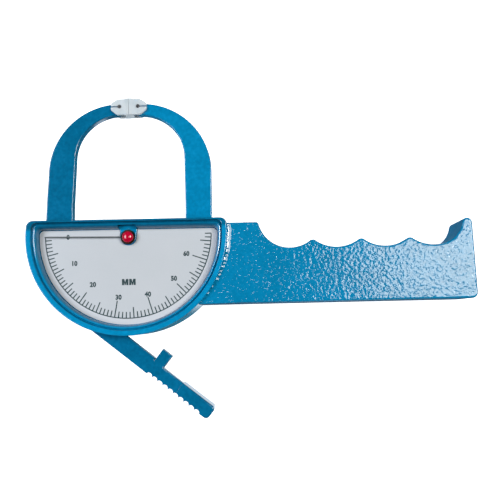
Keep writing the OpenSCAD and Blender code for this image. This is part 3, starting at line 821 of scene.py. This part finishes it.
# ---------------------------------------------------------------- the nylon shoes
def make_tip(side):
    ty, h = 70.5, 9.1
    cheek = rounded(
        [(-0.15, ty + 4.2), (-6.2, ty + 4.15), (-9.75, ty + 1.9), (-9.75, ty - 1.9), (-6.3, ty - 4.55), (-0.15, ty - 4.5)],
        [0.3, 2.6, 1.7, 1.7, 2.4, 0.3],
    )
    slit = [(-12, ty - 0.35), (-5, ty - 0.25), (-5, ty + 0.25), (-12, ty + 0.35)]
    loop = outline([cheek], [slit, circle((-5, ty), 1.0, 0.2)])
    pad = rounded([(-0.04, ty - h / 2), (-0.04, ty + h / 2), (-2.35, ty + h / 2), (-2.35, ty - h / 2)], [0.15, 0.15, 0.7, 0.7])
    if side > 0:
        loop = np.column_stack([-loop[:, 0], loop[:, 1]])[::-1]
        pad = [(-x, y) for x, y in pad][::-1]
    bm = bmesh.new()
    slab(bm, pad, 13.1, 21.1, 0.35, 0.35, np.where(np.abs(np.asarray(pad)[:, 0]) < 1.0, 0.15, 1.0), 4)
    name = "shoe_right" if side > 0 else "shoe_left"
    obj = to_object(bm, name, (m_nylon,), weighted=False)
    cheeks = [tool(lambda bm: slab(bm, loop, JZ2 + 0.1, 21.05, 0.12, 0.42, np.where(np.abs(loop[:, 0]) < 1.0, 0.3, 1.0), 4)), tool(lambda bm: slab(bm, loop, 13.15, JZ - 0.1, 0.42, 0.12, None, 4))]
    combine(obj, cheeks, "UNION")
    shade(obj, 40)
    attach(obj, "right_shoe" if side > 0 else "left_shoe")
    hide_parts("right_tip" if side > 0 else "left_tip")
    return obj


# ---------------------------------------------------------------- dial print
ZD = 22.7
A0, STEP_A = 180.36, 2.6746


def strip(bm, x0, y0, x1, y1, w0, w1, z0, z1):
    d = np.array([x1 - x0, y1 - y0])
    n = np.array([-d[1], d[0]]) / np.linalg.norm(d)
    a, b = np.array([x0, y0]), np.array([x1, y1])
    q = [a - n * w0 / 2, b - n * w1 / 2, b + n * w1 / 2, a + n * w0 / 2]
    slab(bm, [tuple(p) for p in q], z0, z1)


def make_scale():
    bm = bmesh.new()
    z0, z1 = ZD - 0.01, ZD + 0.035
    long = {10: 5.8, 20: 6.8, 30: 8.8, 40: 9.3, 50: 7.2, 60: 8.0}
    for k in range(68):
        a = math.radians(A0 + STEP_A * k)
        ln = 3.3
        if k % 10 == 0:
            ln = long.get(k, 5.7)
        elif k % 5 == 0:
            ln = 5.7
        c, s = math.cos(a), math.sin(a)
        r1 = 44.0
        if k == 0:
            continue
        strip(bm, (r1 - ln) * c, (r1 - ln) * s, r1 * c, r1 * s, 0.54, 0.58, z0, z1)
    n = 200
    a = np.radians(np.linspace(A0, A0 + STEP_A * 67, n + 1))
    outer = [(44.25 * math.cos(t), 44.25 * math.sin(t)) for t in a]
    inner = [(43.72 * math.cos(t), 43.72 * math.sin(t)) for t in a]
    slab(bm, outer + inner[::-1], z0, z1 + 0.005)
    obj = to_object(bm, "dial_scale", (m_ink,), weighted=False)
    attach(obj, "frame_body")
    return obj


def make_band():
    """The paler ring between the graduated arc and the edge of the dial."""
    a = np.radians(np.linspace(A0 - 0.5, A0 + STEP_A * 67 + 0.4, 181))
    inner = [(44.0 * math.cos(t), 44.0 * math.sin(t)) for t in a]
    m = placed(moon(47.02, 2.75, 2.25), DIAL)
    lower = [p for p in m if p[1] < inner[0][1] - 0.02 and math.hypot(*p) > 45]
    lower = sorted(lower, key=lambda p: (math.atan2(p[1], p[0]) - math.pi / 2) % (2 * math.pi))
    bm = bmesh.new()
    slab(bm, lower + inner[::-1], ZD - 0.01, ZD + 0.02)
    obj = to_object(bm, "dial_rim_paint", (m_band,), weighted=False)
    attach(obj, "frame_body")
    return obj


def glyphs(name, text, x, y, size, bold=0.0, squeeze=1.0, spacing=1.0):
    cu = bpy.data.curves.new(name, "FONT")
    cu.body = text
    cu.align_x, cu.align_y = "CENTER", "CENTER"
    cu.size = 1.0
    cu.offset = bold
    cu.space_character = spacing
    cu.resolution_u = 6
    tmp = bpy.data.objects.new(name + "_t", cu)
    scene.collection.objects.link(tmp)
    bpy.context.view_layer.update()
    mesh = bpy.data.meshes.new_from_object(tmp.evaluated_get(bpy.context.evaluated_depsgraph_get()))
    bpy.data.objects.remove(tmp)
    bpy.data.curves.remove(cu)
    co = np.array([tuple(v.co) for v in mesh.vertices])
    lo, hi = co.min(axis=0), co.max(axis=0)
    k = size / (hi[1] - lo[1])
    mid = (lo + hi) / 2
    bm = bmesh.new()
    bm.from_mesh(mesh)
    bpy.data.meshes.remove(mesh)
    bmesh.ops.remove_doubles(bm, verts=bm.verts, dist=1e-5)
    geo = bmesh.ops.extrude_face_region(bm, geom=list(bm.faces))
    up = [g for g in geo["geom"] if isinstance(g, bmesh.types.BMVert)]
    for v in bm.verts:
        v.co.z = ZD - 0.01
    for v in up:
        v.co.z = ZD + 0.035
    for v in bm.verts:
        v.co = Vector(((x + (v.co.x - mid[0]) * k * squeeze) * MM, (y + (v.co.y - mid[1]) * k) * MM, v.co.z * MM))
    obj = to_object(bm, name, (m_ink,), weighted=False)
    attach(obj, "frame_body")
    return obj


# ---------------------------------------------------------------- camera
EYE = Vector((0.0728, -0.0458, 0.3617))
fwd = Vector((-0.025, 0.1056, -0.994)).normalized()
right = Vector((0.999, -0.022, -0.0275))
right = (right - fwd * right.dot(fwd)).normalized()
up = right.cross(fwd)
cam_data = bpy.data.cameras.new("camera")
cam_data.lens, cam_data.sensor_width, cam_data.sensor_fit = 46.8, 36.0, "HORIZONTAL"
cam_data.clip_start, cam_data.clip_end = 0.01, 20.0
cam = bpy.data.objects.new("camera", cam_data)
rot = Matrix((right, up, -fwd)).transposed().to_4x4()
cam.matrix_world = Matrix.Translation(EYE) @ rot
scene.collection.objects.link(cam)
scene.camera = cam


def on_dial(u, v, h=0.0):
    """Place on the dial, in mm, of a point of the 500 px picture."""
    d = (fwd + right * ((u - 250) / 650.0) - up * ((v - 250) / 650.0)).normalized()
    t = (((ZD + h) * MM) - EYE.z) / d.z
    q = EYE + d * t
    return q.x / MM, q.y / MM


# ---------------------------------------------------------------- build
make_frame()
make_cover()
make_moving_jaw()
make_fixed_jaw()
make_tip(-1)
make_tip(1)
make_scale()
make_band()
for text, u, v in (("0", 68.1, 237.3), ("10", 74.8, 263.5), ("20", 92.9, 284.6), ("30", 118.6, 297.2), ("40", 147.9, 294.1), ("50", 174.0, 278.3), ("60", 186.4, 253.5)):
    x, y = on_dial(u, v)
    glyphs("number_" + text, text, x, y, 2.7, 0.050, 0.90, 1.08)


def make_unit():
    """The two bold letters of the unit, millimetres."""
    x, y = on_dial(128.8, 282.0)
    w, h, s, gap = 3.4, 3.25, 1.10, 0.42
    bm = bmesh.new()
    for x0 in (x - w - gap / 2, x + gap / 2):
        m = [(0, 0), (s, 0), (s, h - 1.5 * s), (w / 2 - 0.2, 0.0), (w / 2 + 0.2, 0.0), (w - s, h - 1.5 * s), (w - s, 0), (w, 0), (w, h), (w - 1.15 * s, h), (w / 2, 1.30 * s), (1.15 * s, h), (0, h)]
        slab(bm, [(x0 + a, y - h / 2 + b) for a, b in m], ZD - 0.01, ZD + 0.035)
    obj = to_object(bm, "unit_mark", (m_ink,), weighted=False)
    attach(obj, "frame_body")


make_unit()


def make_needle():
    bm = bmesh.new()
    loop = outline([circle((0, 0), 2.3, 0.2), [(-44.2, -0.30), (0, -0.34), (0, 0.34), (-44.2, 0.30), (-44.4, 0.0)]])
    slab(bm, placed(loop, N, -1.25), 23.9, 24.2, 0.05, 0.08, None, 3)
    obj = to_object(bm, "needle_blade", (m_needle,), weighted=False)
    combine(obj, [cylinder(N, 1.2, 20, 30, step=0.15)], "DIFFERENCE")
    shade(obj, 35)
    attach(obj, "needle_body")
    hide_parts("needle")
    bm = bmesh.new()
    lathe(bm, [(1.2, 24.2), (3.8, 24.2), (3.9, 24.28), (3.9, 24.5), (3.8, 24.6), (1.2, 24.6), (1.2, 24.2)], N, 96)
    obj = to_object(bm, "needle_washer_turned", (m_bronze,))
    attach(obj, "needle_body")
    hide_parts("needle_washer")
    bm = bmesh.new()
    rs = math.hypot(2.95, 2.6)
    prof = [(0, 25.1), (1.2, 25.1), (1.2, 24.6), (2.75, 24.6), (2.90, 24.68), (2.95, 24.85), (2.95, 25.35)]
    a0 = math.degrees(math.atan2(2.6, 2.95))
    for k in range(1, 15):
        a = math.radians(a0 + (90 - a0) * k / 14)
        prof.append((rs * math.cos(a) if k < 14 else 0.0, 22.9 + rs * math.sin(a)))
    lathe(bm, prof, N, n=72)
    obj = to_object(bm, "cap_domed", (m_red,))
    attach(obj, "needle_body")
    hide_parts("needle_cap")


make_needle()

# ---------------------------------------------------------------- finishes of the machined parts
finish = {
    "dial_plate": m_dial,
    "cover_screws": m_steel,
    "fixed_jaw_screws": m_steel,
    "pivot_pin": m_steel,
    "pivot_washer": m_brass,
    "pivot_clip": m_spring,
    "pivot_bush": m_brass,
    "sector_gear": m_brass,
    "sector_rivets": m_steel,
    "idler_gear": m_brass,
    "idler_pin": m_drawn,
    "needle_pinion": m_steel,
    "front_bearing": m_brass,
    "rear_bearing": m_brass,
    "hairspring": m_spring,
    "hairspring_stud": m_brass,
    "main_spring": m_spring,
    "spring_post": m_drawn,
    "jaw_spring_peg": m_drawn,
    "left_tip_pin": m_drawn,
    "right_tip_pin": m_drawn,
    "frame": m_grip,
    "back_cover": m_rim,
    "fixed_jaw": m_jaw,
    "moving_jaw": m_lever,
    "needle": m_needle,
    "needle_washer": m_bronze,
    "needle_cap": m_red,
    "left_tip": m_nylon,
    "right_tip": m_nylon,
}
for name, obj in nodes.items():
    obj.data.materials.clear()
    obj.data.materials.append(finish[name])

# ---------------------------------------------------------------- floor, world and lights
bm = bmesh.new()
bmesh.ops.create_grid(bm, x_segments=24, y_segments=24, size=3.0)
for v in bm.verts:
    v.co.z = -0.0004
s = Shader("floor_white")
fn = s.noise(30.0, 2.0, 0.5)
s.set(Base_Color=s.ramp(fn, [(0.3, (0.90, 0.90, 0.90)), (0.7, (0.92, 0.92, 0.92))]), Roughness=0.9, Emission_Color=(1, 1, 1, 1), Emission_Strength=0.95)
floor = to_object(bm, "floor", (s.m,), weighted=False)
floor.visible_glossy = floor.visible_transmission = False

# A dim room that is dark overhead and paler towards the horizon
world = bpy.data.worlds.new("studio")
scene.world = world
world.use_nodes = True
wt = world.node_tree
bg = wt.nodes["Background"]
wc = wt.nodes.new("ShaderNodeTexCoord")
wx = wt.nodes.new("ShaderNodeSeparateXYZ")
wr = wt.nodes.new("ShaderNodeValToRGB")
wt.links.new(wc.outputs["Generated"], wx.inputs[0])
wt.links.new(wx.outputs["Z"], wr.inputs["Fac"])
ramp = wr.color_ramp.elements
ramp[0].position, ramp[0].color = 0.0, (0.05, 0.17, 0.23, 1)
ramp[1].position, ramp[1].color = 1.0, (0.01, 0.01, 0.01, 1)
for pos, val in ((0.15, 0.06), (0.5, 0.05), (0.8, 0.01)):
    e = ramp.new(pos)
    e.color = (val * 0.96, val, val * 1.04, 1)
# below the horizon: what upright sides that face right mirror is pale, the rest dark teal


def world_span(value, a, b):
    n = wt.nodes.new("ShaderNodeMapRange")
    n.interpolation_type = "SMOOTHSTEP"
    n.inputs["From Min"].default_value, n.inputs["From Max"].default_value = a, b
    wt.links.new(value, n.inputs["Value"])
    return n.outputs["Result"]


def world_math(op, a, b=None):
    n = wt.nodes.new("ShaderNodeMath")
    n.operation = op
    wt.links.new(a, n.inputs[0])
    if b is not None:
        wt.links.new(b, n.inputs[1])
    return n.outputs[0]


off = wt.nodes.new("ShaderNodeMath")
off.operation = "ADD"
off.inputs[1].default_value = 0.015
wt.links.new(wx.outputs["Y"], off.inputs[0])
pale = world_math("MULTIPLY", world_span(wx.outputs["X"], -0.02, 0.05), world_span(world_math("ABSOLUTE", off.outputs[0]), 0.03, 0.07))
pale = world_math("MULTIPLY", pale, world_span(wx.outputs["X"], 0.25, 0.15))
below = wt.nodes.new("ShaderNodeMath")
below.operation = "LESS_THAN"
below.inputs[1].default_value = -0.05
wt.links.new(wx.outputs["Z"], below.inputs[0])
mix = wt.nodes.new("ShaderNodeMixRGB")
wt.links.new(world_math("MULTIPLY", pale, below.outputs[0]), mix.inputs["Fac"])
wt.links.new(wr.outputs["Color"], mix.inputs["Color1"])
mix.inputs["Color2"].default_value = (1.20, 1.30, 1.40, 1)
wt.links.new(mix.outputs["Color"], bg.inputs["Color"])
bg.inputs["Strength"].default_value = 1.0


def softbox(name, x, y, z, radiance, tilt=0.0, colour=(1, 1, 1)):
    """A panel over x[0]..x[1] by y[0]..y[1] at height z, facing down, of the given brightness."""
    d = bpy.data.lights.new(name, "AREA")
    d.shape = "RECTANGLE"
    d.size, d.size_y = x[1] - x[0], y[1] - y[0]
    d.energy = radiance * math.pi * d.size * d.size_y
    d.color = colour
    o = bpy.data.objects.new(name, d)
    scene.collection.objects.link(o)
    o.location = ((x[0] + x[1]) / 2, (y[0] + y[1]) / 2, z)
    o.rotation_euler = (0, math.radians(tilt), 0)
    return o


softbox("softbox_key", (0.285, 0.76), (-0.10, 0.28), 1.0, 6.1, 0.0, (1.0, 0.96, 0.84))
softbox("softbox_core", (0.76, 1.10), (-0.10, 0.42), 1.0, 18.0, 0.0, (1.0, 0.97, 0.92))
softbox("softbox_left", (-1.7, -0.62), (-0.5, 0.7), 1.1, 6.0, 0.0, (0.95, 1.0, 1.08))

scene.view_settings.view_transform = "Standard"
scene.view_settings.look = "None"
scene.view_settings.exposure = 0.0
scene.view_settings.gamma = 1.0
